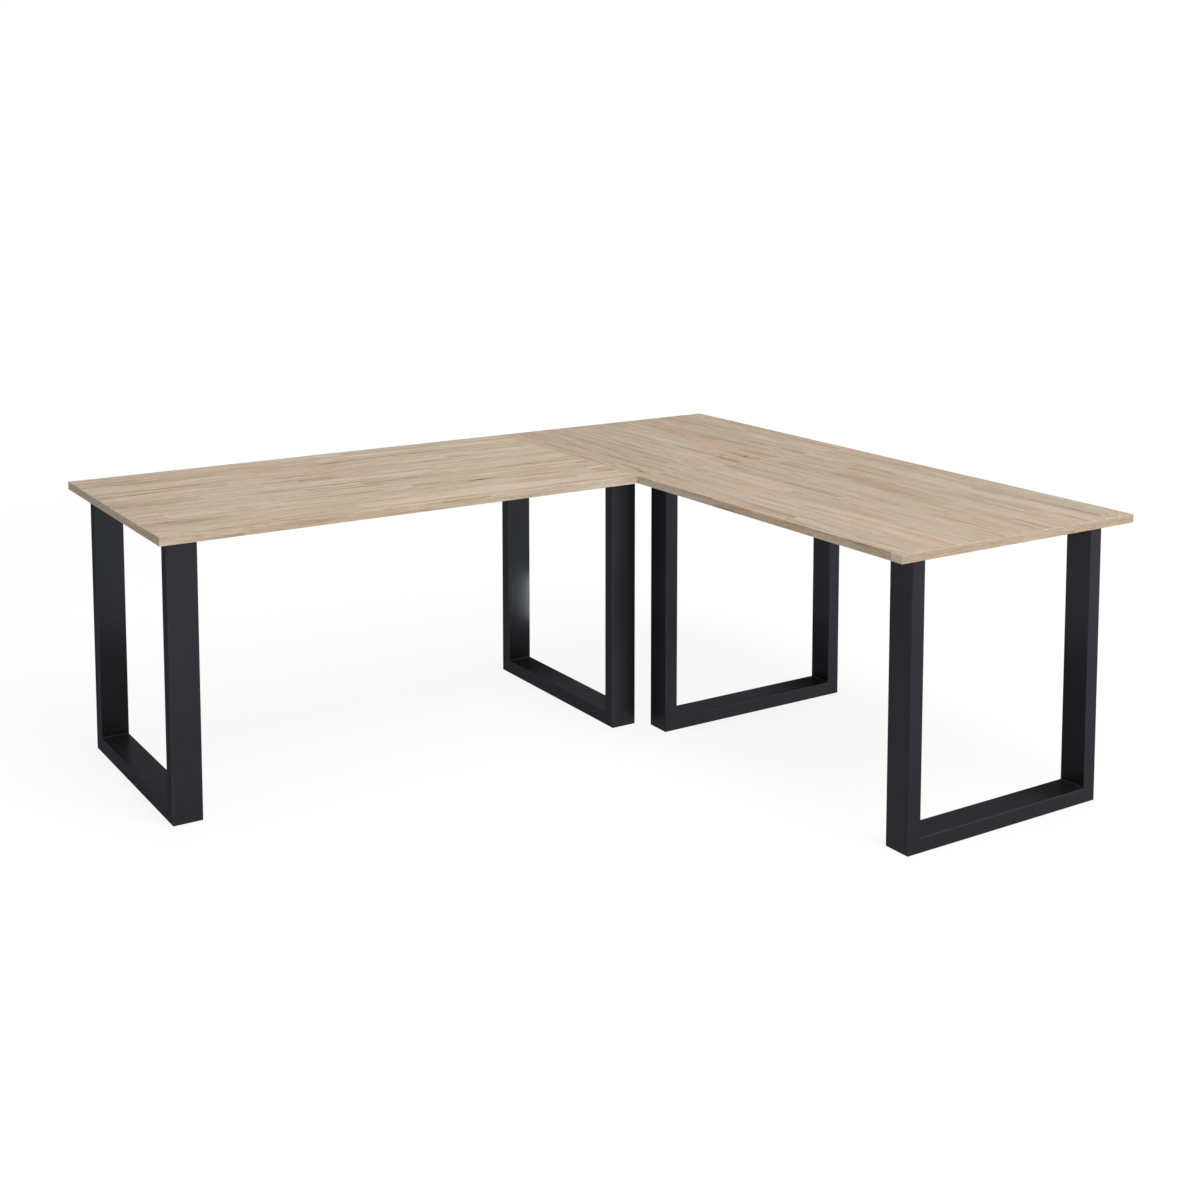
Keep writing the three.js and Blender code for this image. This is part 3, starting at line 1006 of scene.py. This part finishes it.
@dataclass(frozen=True)
class WoodScrew:
    """A pan-head wood screw, its head down and its point up.

    Attributes:
        head_radius: the head's radius.
        head_height: the head's height below its seat.
        head_flat: the flat share of the head's radius; the rest is domed.
        head_rim: the ease on the head's rim.
        core_radius: the shank's radius under the thread.
        thread: how far the thread stands out.
        pitch: the thread's rise in one turn.
        length: the shank's length above the seat.
        point: the length over which it tapers.
        point_share: the share of its radius that the point ends with.
        recess_reach: half the length of the cross recess.
        recess_half_width: half the width of its slots.
        recess_depth: how deep it goes into the head.
    """

    head_radius: float = 5 * MM
    head_height: float = 3 * MM
    head_flat: float = 0.62
    head_rim: float = 0.15 * MM
    core_radius: float = 1.8 * MM
    thread: float = 0.7 * MM
    pitch: float = 1.9 * MM
    length: float = 20 * MM
    point: float = 5 * MM
    point_share: float = 0.06
    recess_reach: float = 2.5 * MM
    recess_half_width: float = 0.6 * MM
    recess_depth: float = 1.7 * MM

    def angles(self) -> np.ndarray:
        """Angles round the screw, with the recess's corners among them."""
        corner = math.atan2(self.recess_half_width, self.recess_reach)
        quarter = np.array([-corner, corner, math.pi / 4])
        exact = (quarter[None] + np.arange(4)[:, None] * math.pi / 2).ravel() % (2 * math.pi)
        even = np.arange(32) * math.pi / 16 + 0.01
        return np.unique(np.round(np.concatenate([exact, even]), 6))

    def cross(self, angle: np.ndarray, scale: float) -> np.ndarray:
        """The recess's reach at each angle.

        A slot along x reaches min(L / |cos|, w / |sin|), a slot along y the same with the two
        swapped, and the cross is the larger of them.

        Args:
            angle: the angles.
            scale: the share of the full recess.

        Returns:
            The reach at each angle.
        """
        cosine = np.maximum(np.abs(np.cos(angle)), 1e-6)
        sine = np.maximum(np.abs(np.sin(angle)), 1e-6)
        reach, half = self.recess_reach * scale, self.recess_half_width * scale
        along_x = np.minimum(reach / cosine, half / sine)
        along_y = np.minimum(reach / sine, half / cosine)
        return np.maximum(along_x, along_y)

    def surface(self, seat: np.ndarray) -> Surface:
        """The screw with its head's seat at a place: recess, domed head, then the threaded shank."""
        angle = self.angles()
        flat = np.ones_like(angle)
        bottom = -self.head_height
        rings = [
            (self.cross(angle, 0.55), bottom + self.recess_depth),
            (self.cross(angle, 0.92), bottom + 0.12 * MM),
            (self.cross(angle, 1.0), bottom + 0.02 * MM),
            (flat * self.head_radius * 0.60, bottom),
        ]
        for turn in np.radians(np.linspace(0, 80, 8)):
            radius = self.head_radius * (self.head_flat + (1 - self.head_flat) * math.sin(turn))
            rings.append((flat * radius, bottom + (self.head_height - 0.2 * MM) * (1 - math.cos(turn))))
        rings.append((flat * self.head_radius, -self.head_rim))
        rings.append((flat * (self.head_radius - self.head_rim), 0.0))
        for height in np.arange(0.05 * MM, self.length, self.pitch / 9):
            taper = max(min(1.0, (self.length - height) / self.point), self.point_share)
            phase = (height / self.pitch - angle / (2 * math.pi)) % 1.0
            ridge = np.clip(1 - np.abs(phase - 0.5) * 5, 0, 1) * min(1.0, height / (2 * MM))
            rings.append(((self.core_radius + self.thread * ridge) * taper, height))
        radius = np.array([reach for reach, _ in rings])
        height = np.array([[rise] for _, rise in rings]) * flat
        grid = np.stack([radius * np.cos(angle), radius * np.sin(angle), height], axis=-1)
        return lofted(grid).moved(seat)


@dataclass(frozen=True)
class WeldBead:
    """A fillet weld along an inner corner, rippled by the torch.

    Attributes:
        radius: the bead's mean radius.
        ripple: how far each ripple stands out, as a share of the radius.
        pitch: the ripples' spacing.
        offset: how far its centre stands off the corner, as a share of the radius.
        lag: how far each ripple trails round the bead, as a share of the pitch.
        sides: points round the bead.
        steps: rings in each ripple.
    """

    radius: float = 2.4 * MM
    ripple: float = 0.08
    pitch: float = 2.6 * MM
    offset: float = 0.25
    lag: float = 0.25
    sides: int = 14
    steps: int = 6

    def surface(self, start: np.ndarray, run: np.ndarray, length: float, open_way: np.ndarray) -> Surface:
        """A bead along a line, its centre just off the corner.

        Its radius is r (1 + k cos(2 pi s / pitch)), and it falls to nothing over the last radius
        at each end as a quarter circle.

        Args:
            start: the corner line's start.
            run: the line's direction.
            length: the line's length.
            open_way: the direction from the corner into the open.

        Returns:
            The closed skin.
        """
        steps = int(length / self.pitch * self.steps)
        along = np.linspace(0, length, steps + 1)
        from_end = np.minimum(along, length - along) / self.radius
        fall = np.sqrt(np.clip(1 - np.clip(1 - from_end, 0, 1) ** 2, 0.01, 1))
        radius = self.radius * fall * (1 + self.ripple * np.cos(2 * math.pi * along / self.pitch))
        angle = np.arange(self.sides) * 2 * math.pi / self.sides
        side = np.cross(run, open_way)
        centre = start + self.offset * self.radius * open_way + along[:, None] * run
        circle = np.cos(angle)[:, None] * open_way + np.sin(angle)[:, None] * side
        lag = self.lag * self.pitch * np.cos(angle)[:, None] * run
        rings = centre[:, None] + radius[:, None, None] * circle[None] + fall[:, None, None] * lag[None]
        return lofted(rings)


@dataclass
class UFrame:
    """A U-frame: two legs and a foot rail of rectangular tube, mitred and welded, under a plate.

    Its own axes are s along the rail, from the first end to the second, t across the tube's wide
    side, and z up.

    Attributes:
        name: the frame's name.
        ends: the names of its two ends.
        wall: the tube's wall.
        radius: the radius on the tube's corners.
        groove: the ease along each mitre, which reads as a fine line.
        bead: the weld in its inner corners.
        glide: its foot pads.
        screw: the screws that hold it under the tops.
    """

    name: str
    ends: tuple[str, str]
    wall: float = 2 * MM
    radius: float = 2.5 * MM
    groove: float = 0.12 * MM
    bead: WeldBead = WeldBead()
    glide: Glide = Glide()
    screw: WoodScrew = WoodScrew()

    def __post_init__(self) -> None:
        """Reads the frame's place from its nodes: centre, axes and the tube's section."""
        rail_low, rail_high = node_box(f"{self.name}_foot_rail")
        first, second = (sum(node_box(f"{self.name}_post_{end}")) / 2 for end in self.ends)
        self.centre = (rail_low + rail_high) / 2
        self.centre[2] = 0.0
        along = second - first
        self.run = np.round(along / np.linalg.norm(along))
        self.across = np.cross(UP, self.run)
        extent = rail_high - rail_low
        self.width = abs(extent @ self.run)
        self.tube_width = abs(extent @ self.across)
        self.foot = rail_low[2]
        self.tube_depth = extent[2]
        self.plate_bottom = node_box(f"{self.name}_top_plate")[0][2]

    def build(self) -> None:
        """Makes the legs, the rail, the welds and the fixings, and coats the plate."""
        self.make_tubes()
        self.make_welds()
        self.dress_plate()
        self.make_fixings()

    def tube(self, length: float, mitred: tuple[bool, bool]) -> Surface:
        """A hollow rectangular tube.

        Its section is drawn in p, the narrow way with the outside of the U at +p, and q, the wide
        way; w runs along it from 0. Rings run up the outside and back down the inside. A mitred
        end is cut where w is half the depth minus p, and every end is eased by the groove.

        Args:
            length: its length along the outside.
            mitred: whether its start and its end are mitred.

        Returns:
            The closed skin, in p, q and w.
        """
        half = self.tube_depth / 2
        size = (self.tube_depth, self.tube_width)
        inner_radius = max(self.radius - self.wall, 0.3 * MM)

        def ring(
            inset: float, back: float, at_end: bool, flag: float, inside: bool = False
        ) -> tuple[np.ndarray, np.ndarray]:
            """One ring, set back from an end, and its arris flags."""
            radius = inner_radius if inside else self.radius
            frame_size = tuple(side - 2 * self.wall for side in size) if inside else size
            outline, corners = rounded_outline(frame_size, (radius,) * 4, inset, steps=8)
            cut = (half - outline[:, 0]) * mitred[int(at_end)] + back
            along = length - cut if at_end else cut
            return np.column_stack([outline, along]), np.maximum(corners, flag)

        ease = self.groove
        outside = [(ease, 0.0, 1.0), (0.3 * ease, 0.3 * ease, 1.0), (0.0, ease, 1.0), (0.0, 8 * ease, 0.0)]
        stations = [ring(inset, back, False, flag) for inset, back, flag in outside]
        stations += [ring(inset, back, True, flag) for inset, back, flag in reversed(outside)]
        stations += [ring(0.0, 0.0, at_end, 0.0, inside=True) for at_end in (True, False)]
        rings, flags = zip(*stations)
        return lofted(np.array(rings), np.array(flags), endless=True)

    def make_tubes(self) -> None:
        """The two legs and the foot rail, each a mitred tube laid along its own axes."""
        rail = self.tube(self.width, (True, True))
        axes = np.array([-UP, self.across, self.run])
        origin = self.centre - self.run * self.width / 2 + UP * (self.foot + self.tube_depth / 2)
        self.add_tube("foot_rail", "runner", rail.moved(origin, axes))
        leg = self.tube(self.plate_bottom - self.foot, (True, False))
        for end, sign in zip(self.ends, (-1, 1)):
            axes = np.array([sign * self.run, self.across, UP])
            reach = sign * (self.width - self.tube_depth) / 2
            origin = self.centre + self.run * reach + UP * self.foot
            self.add_tube(f"post_{end}", f"leg_{end}", leg.moved(origin, axes))

    def add_tube(self, node: str, label: str, surface: Surface) -> None:
        """Puts a tube into the scene in place of its node."""
        make_piece(f"{self.name}_{label}", surface.outward(), COAT, (f"{self.name}_{node}",))

    def make_welds(self) -> None:
        """A bead in each inner corner: leg to rail at the foot, leg to plate at the top."""
        length = self.tube_width - 2 * self.radius
        beads = []
        for sign in (-1, 1):
            corner = self.centre + sign * self.run * (self.width / 2 - self.tube_depth)
            for height, way in ((self.foot + self.tube_depth, UP), (self.plate_bottom, -UP)):
                start = corner + UP * height - self.across * length / 2
                open_way = (way - sign * self.run) / math.sqrt(2)
                beads.append(self.bead.surface(start, self.across, length, open_way))
        name = f"{self.name}_weld_beads"
        make_piece(name, joined(beads), COAT, smooth_below=BEAD_SMOOTH)

    def dress_plate(self) -> None:
        """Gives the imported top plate, whose shape is right, the frame's coat."""
        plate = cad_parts[f"{self.name}_top_plate"]
        plate.data.materials.clear()
        plate.data.materials.append(material_of(COAT))
        LOG.info("%s_top_plate: keeps its shape, coated", self.name)

    def make_fixings(self) -> None:
        """The foot pads on the floor and the screws up into the tops."""
        for end in self.ends:
            node = f"{self.name}_glide_{end}"
            low, high = node_box(node)
            surface = self.glide.surface(np.append((low + high)[:2] / 2, low[2]))
            make_piece(f"{self.name}_foot_pad_{end}", surface, PLASTIC, (node,), PAD_SMOOTH)
        for number in range(1, 5):
            node = f"{self.name}_screw_{number}"
            low, high = node_box(node)
            surface = self.screw.surface(np.append((low + high)[:2] / 2, self.plate_bottom))
            name = f"{self.name}_wood_screw_{number}"
            make_piece(name, surface, ZINC, (node,), SCREW_SMOOTH)


# ---- Studio ----


@dataclass(frozen=True)
class SoftBox:
    """A rectangular studio light.

    Attributes:
        name: the light's name.
        place: where it stands.
        size: its width and height.
        power: its power in watts.
        aim: the point that it faces.
    """

    name: str
    place: Place
    size: tuple[float, float]
    power: float
    aim: Place = (0.0, 0.0, 0.5)

    def build(self) -> None:
        """Adds the light and turns it to its aim."""
        light = bpy.data.lights.new(self.name, "AREA")
        light.shape = "RECTANGLE"
        light.size, light.size_y = self.size
        light.energy = self.power
        lamp = bpy.data.objects.new(self.name, light)
        lamp.location = self.place
        lamp.rotation_euler = (Vector(self.aim) - Vector(self.place)).to_track_quat("-Z", "Y").to_euler()
        lamp.visible_glossy = False
        bpy.context.scene.collection.objects.link(lamp)


@dataclass(frozen=True)
class MirrorCard:
    """A card that only reflections see, and only from the side that it faces; such cards paint shade and a
    glint into the coat's reflections.

    It rises from its lower edge while it goes away from the face that mirrors it; from behind it
    isn't there. FINISH names its material, OPENNESS is the share of a reflection that it lets
    through, and UPRIGHT is the slope of a card that all but stands.

    Attributes:
        name: the card's name.
        place: the middle of its lower edge.
        facing: the level direction that it faces.
        width: its width.
        reach: how far it goes back from its lower edge.
        slope: its rise for each metre of reach.
    """

    FINISH: ClassVar[str]
    OPENNESS: ClassVar[float] = 0.0
    UPRIGHT: ClassVar[float] = 35.0

    name: str
    place: Place
    facing: Place
    width: float
    reach: float
    slope: float = 1 / 3

    def build(self) -> None:
        """Adds the card, hidden from everything but reflections."""
        middle, facing, up = Vector(self.place), Vector(self.facing), Vector(UP)
        side = up.cross(facing) * self.width / 2
        rise = (up * self.slope - facing) * self.reach
        corners = [middle - side, middle + side, middle + side + rise, middle - side + rise]
        card = add_mesh(self.name, corners, [(0, 1, 2, 3)], self.material())
        card.visible_camera = False
        card.visible_diffuse = False
        card.visible_shadow = False
        card.visible_transmission = False

    @classmethod
    def front(cls, w: Wiring) -> bpy.types.Node:
        """The shader of the side that it faces with."""
        raise NotImplementedError

    @classmethod
    @cache
    def material(cls) -> bpy.types.Material:
        """Its front lets a share of each reflection through, its back lets everything through."""
        material = bpy.data.materials.new(cls.FINISH)
        w = Wiring.of(material)
        behind = w.add("NewGeometry").outputs["Backfacing"]
        share = w.math("MAXIMUM", behind, cls.OPENNESS)
        clear = w.add("BsdfTransparent")
        mixed = w.add("MixShader", {0: share, 1: cls.front(w).outputs[0], 2: clear.outputs[0]})
        w.add("OutputMaterial", {"Surface": mixed.outputs[0]})
        return material


class PaintedShadeCard(MirrorCard):
    """Black gauze that paints shade: it darkens the coat's reflections on the legs' inner faces and the
    rails' far ends.
    """

    FINISH = "painted_shade_card"
    OPENNESS = 0.25

    @classmethod
    def front(cls, w: Wiring) -> bpy.types.Node:
        """Plain black."""
        return w.add("BsdfDiffuse", {"Color": (0.0, 0.0, 0.0)})


class GlowStrip(MirrorCard):
    """A narrow glowing strip, no lamp, that paints a soft glint on the coat: it lights nothing and only
    reflections see it.
    """

    FINISH = "painted_glint_strip"
    GLINT_COLOUR: ClassVar[Colour] = (0.92, 0.98, 1.0)
    STRENGTH: ClassVar[float] = 18.5

    @classmethod
    def front(cls, w: Wiring) -> bpy.types.Node:
        """Cool emission for the painted glint."""
        return w.add("Emission", {"Color": cls.GLINT_COLOUR, "Strength": cls.STRENGTH})


@dataclass
class Studio:
    """Floor, backdrop, lights and camera.

    Attributes:
        floor_reach: half the floor's side.
        floor_clear: where the floor has faded into the backdrop.
        camera_place: the camera's place.
        camera_tilt: how far it looks down, in degrees.
        camera_turn: how far it is turned from looking along +y, in degrees.
        lens: its focal length in millimetres.
        sensor: its sensor's width in millimetres.
        shift: its vertical shift.
        lights: the studio's lights.
        cards: painted shade and a painted glint in the coat's reflections inside the frames: one dark card
        before the far leg's inner face of each frame, upright dark ones at the far ends of three rails, and
        a glowing strip for a glint on one leg.
        ambient: the even light that falls on matt surfaces from all round.
        mirrored_tint: the tint of the surroundings that reflections see.
        floor_colour: the floor's own colour.
        floor_glow: how much of the floor near the desk is plain white light.
    """

    floor_reach: float = 60.0
    floor_clear: float = 5.0
    camera_place: Place = (-2.3675, -3.8096, 1.7273)
    camera_tilt: float = 5.482
    camera_turn: float = -32.658
    lens: float = 50.615
    sensor: float = 36.0
    shift: float = -0.25
    lights: tuple[SoftBox, ...] = (
        SoftBox("key_box", (0.6, -4.0, 5.4), (3.5, 3.5), 326.0),
        SoftBox("overhead_box", (-0.6, 0.0, 7.0), (4.0, 4.0), 190.0),
        SoftBox("rear_box", (1.5, 4.8, 3.2), (3.2, 2.2), 40.0),
        SoftBox("right_box", (5.0, 1.2, 2.4), (2.6, 2.0), 60.0),
    )
    # Dark cards paint shade into the coat's reflections inside the frames; the glowing strip paints a glint
    # on one leg.
    cards: tuple[MirrorCard, ...] = (
        PaintedShadeCard("left_end_shade_card", (-0.92, 0.8375, 0.045), (0.0, 1.0, 0.0), 0.28, 0.54),
        PaintedShadeCard("left_seam_shade_card", (0.42, 0.8375, 0.045), (0.0, 1.0, 0.0), 0.32, 0.233),
        PaintedShadeCard("right_seam_shade_card", (0.9875, 0.30, 0.045), (1.0, 0.0, 0.0), 0.38, 0.25),
        PaintedShadeCard("right_end_shade_card", (0.9875, -0.62, 0.045), (1.0, 0.0, 0.0), 0.58, 0.57),
        PaintedShadeCard(
            "left_seam_shade_stop", (0.38, 0.83, 0.045), (0.0, -1.0, 0.0), 0.24, 0.002, MirrorCard.UPRIGHT
        ),
        PaintedShadeCard(
            "right_seam_shade_stop", (0.98, 0.25, 0.045), (-1.0, 0.0, 0.0), 0.30, 0.002, MirrorCard.UPRIGHT
        ),
        PaintedShadeCard(
            "right_end_shade_stop", (0.98, -0.765, 0.045), (-1.0, 0.0, 0.0), 0.30, 0.002, MirrorCard.UPRIGHT
        ),
        GlowStrip(
            "left_seam_painted_glint", (0.438, 0.6875, 0.118), (0.0, 1.0, 0.0), 0.02, 0.004, MirrorCard.UPRIGHT
        ),
    )
    ambient: Colour = (0.30, 0.30, 0.30)
    mirrored_tint: Colour = (0.93, 1.0, 1.22)
    floor_colour: Colour = (0.93, 0.93, 0.93)
    floor_glow: float = 0.88

    def build(self) -> None:
        """Sets up the whole studio."""
        self.make_floor()
        self.make_backdrop()
        for item in self.lights + self.cards:
            item.build()
        self.make_camera()
        bpy.context.scene.view_settings.view_transform = "Standard"

    def make_floor(self) -> None:
        """A pale floor that fades into the backdrop's white away from the desk."""
        reach = self.floor_reach
        corners = [(-reach, -reach, 0.0), (reach, -reach, 0.0), (reach, reach, 0.0), (-reach, reach, 0.0)]
        material = bpy.data.materials.new("pale_floor")
        w = Wiring.of(material)
        place = w.add("TexCoord").outputs["Object"]
        distance = w.add("VectorMath", {0: place}, operation="LENGTH").outputs["Value"]
        matt = w.add("BsdfDiffuse", {"Color": self.floor_colour})
        white = w.add("Emission", {"Color": WHITE, "Strength": 1.0})
        far = w.ease(distance, 0.5 * self.floor_clear, self.floor_clear, self.floor_glow, 1.0)
        mixed = w.add("MixShader", {0: far, 1: matt.outputs[0], 2: white.outputs[0]})
        w.add("OutputMaterial", {"Surface": mixed.outputs[0]})
        floor = add_mesh("studio_floor", corners, [(0, 1, 2, 3)], material)
        floor.visible_glossy = False

    def make_backdrop(self) -> None:
        """A white backdrop to the eye, and dim studio surroundings to the reflections.

        The surroundings go from dark below to grey above a soft horizon, and are brighter towards
        the front and on the left.
        """
        world = bpy.data.worlds.new("studio_surroundings")
        bpy.context.scene.world = world
        w = Wiring.of(world)
        direction = w.add("TexCoord").outputs["Generated"]
        side, back, height = w.split(direction)
        front = w.product(w.ease(back, -0.1, -0.7), w.ease(height, -0.36, -0.20, 0.30, 1.05))
        left = w.ease(side, -0.45, -0.80, 0.0, 0.52)
        behind = w.product(w.ease(back, -0.4, 0.4), w.total(left, w.ease(height, -0.15, 0.15, 0.07, 0.155)))
        rays = w.add("LightPath").outputs
        mirrored = w.mix(1.0, w.total(front, behind), self.mirrored_tint, "MULTIPLY")
        unseen = w.mix(rays["Is Glossy Ray"], self.ambient, mirrored)
        seen = w.mix(rays["Is Camera Ray"], unseen, WHITE)
        background = w.add("Background", {"Color": seen, "Strength": 1.0})
        w.add("OutputWorld", {"Surface": background.outputs[0]})

    def make_camera(self) -> None:
        """The camera, its lens shifted so that it needs to look down only a little."""
        camera = bpy.data.cameras.new("studio_camera")
        camera.lens = self.lens
        camera.sensor_width = self.sensor
        camera.shift_y = self.shift
        camera.dof.use_dof = False
        stand = bpy.data.objects.new("studio_camera", camera)
        stand.location = self.camera_place
        stand.rotation_euler = (math.radians(90 - self.camera_tilt), 0.0, math.radians(self.camera_turn))
        bpy.context.scene.collection.objects.link(stand)
        bpy.context.scene.camera = stand


# ---- Desk ----


def desk_parts() -> tuple[Desktop | UFrame, ...]:
    """The desk's sub-assemblies, in the order that they are built."""
    return (
        Desktop("left_top", grain=0, seams=(Side.RIGHT,), seed=2.0),
        Desktop(
            "corner_top",
            grain=1,
            seams=(Side.LEFT, Side.FRONT),
            seed=5.0,
            tint=(0.90, 0.89, 0.885),
            contrast=0.85,
        ),
        Desktop(
            "right_top",
            grain=1,
            seams=(Side.REAR,),
            seed=9.0,
            # painted shade: this tint darkens the whole right top to stand in for the lower light on it
            tint=(0.87, 0.87, 0.88),
            contrast=0.75,
        ),
        UFrame("left_end", ("rear", "front")),
        UFrame("left_seam", ("rear", "front")),
        UFrame("right_seam", ("inner", "outer")),
        UFrame("right_end", ("inner", "outer")),
    )


def main() -> None:
    """Builds the studio and each sub-assembly in order."""
    logging.basicConfig(level=logging.INFO, format="%(message)s")
    Studio().build()
    for part in desk_parts():
        LOG.info("building %s", part.name)
        part.build()


if __name__ == "__main__":
    main()
